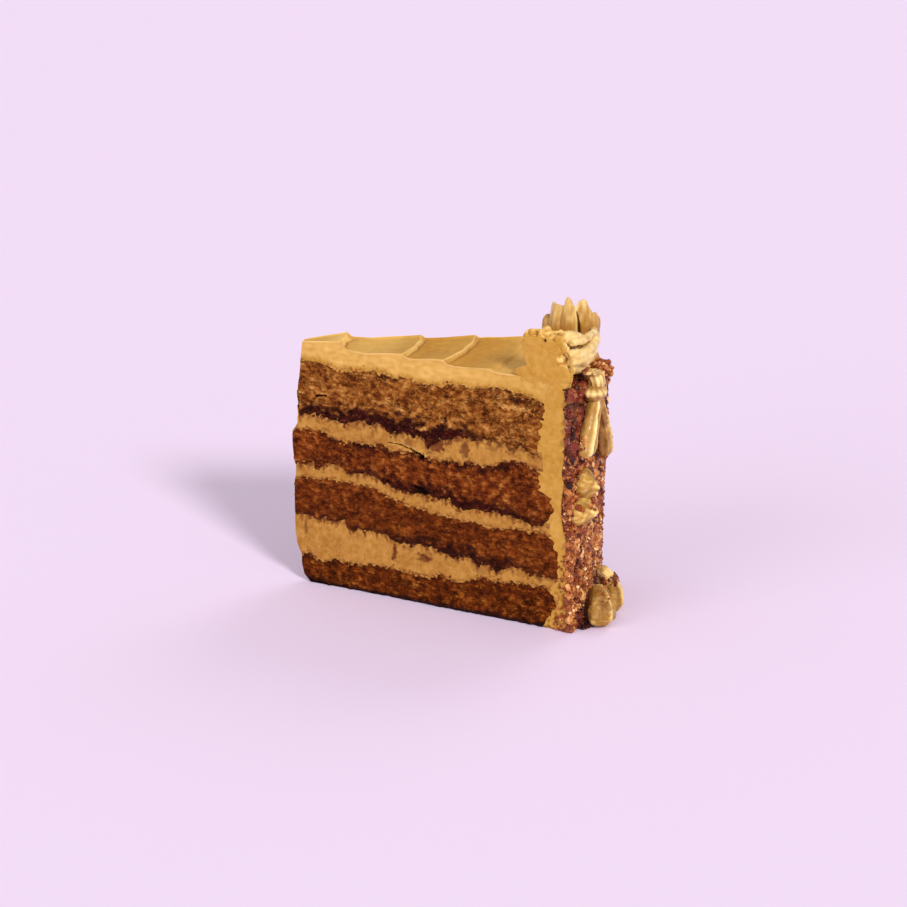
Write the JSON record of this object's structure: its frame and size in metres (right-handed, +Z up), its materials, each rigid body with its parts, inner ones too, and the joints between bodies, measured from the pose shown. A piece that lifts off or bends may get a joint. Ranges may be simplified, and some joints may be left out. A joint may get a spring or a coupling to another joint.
{
  "type": "mocha nougat cake slice",
  "caption": "Wedge of layered mocha cake with cream fillings, iced top, nougat-crumbed side and piped cream on the rim, side and foot.",
  "frame": {"origin": "middle of the underside of the slice's bounding box, on the surface that it stands on", "axes": "+X from the tip along the middle of the wedge to the rim, +Z up, the cut that shows in the picture faces -Y"},
  "size_m": [0.1304, 0.0636, 0.1184],
  "materials": {
    "sponge": "open, moist brown crumb",
    "cream": "smooth mocha buttercream, satin",
    "nougat": "red-brown caramelised nougat crumbs, glossy in places"
  },
  "bodies": {
    "root": {"sponge_1": "sponge", "filling_1": "cream", "sponge_2": "sponge", "filling_2": "cream", "sponge_3": "sponge", "filling_3": "cream", "sponge_4": "sponge", "icing": "cream", "crumb_coat": "nougat", "rosette": "cream", "crown": "cream", "rim_rope_lower": "cream", "rim_rope_upper": "cream", "nougat_cluster": "nougat", "hanging_knob": "cream", "hanging_collar": "cream", "hanging_drop_left": "cream", "hanging_drop_right": "cream", "kiss_upper": "cream", "kiss_lower": "cream", "base_shell_near": "cream", "base_shell_far": "cream"}
  },
  "joints": []
}
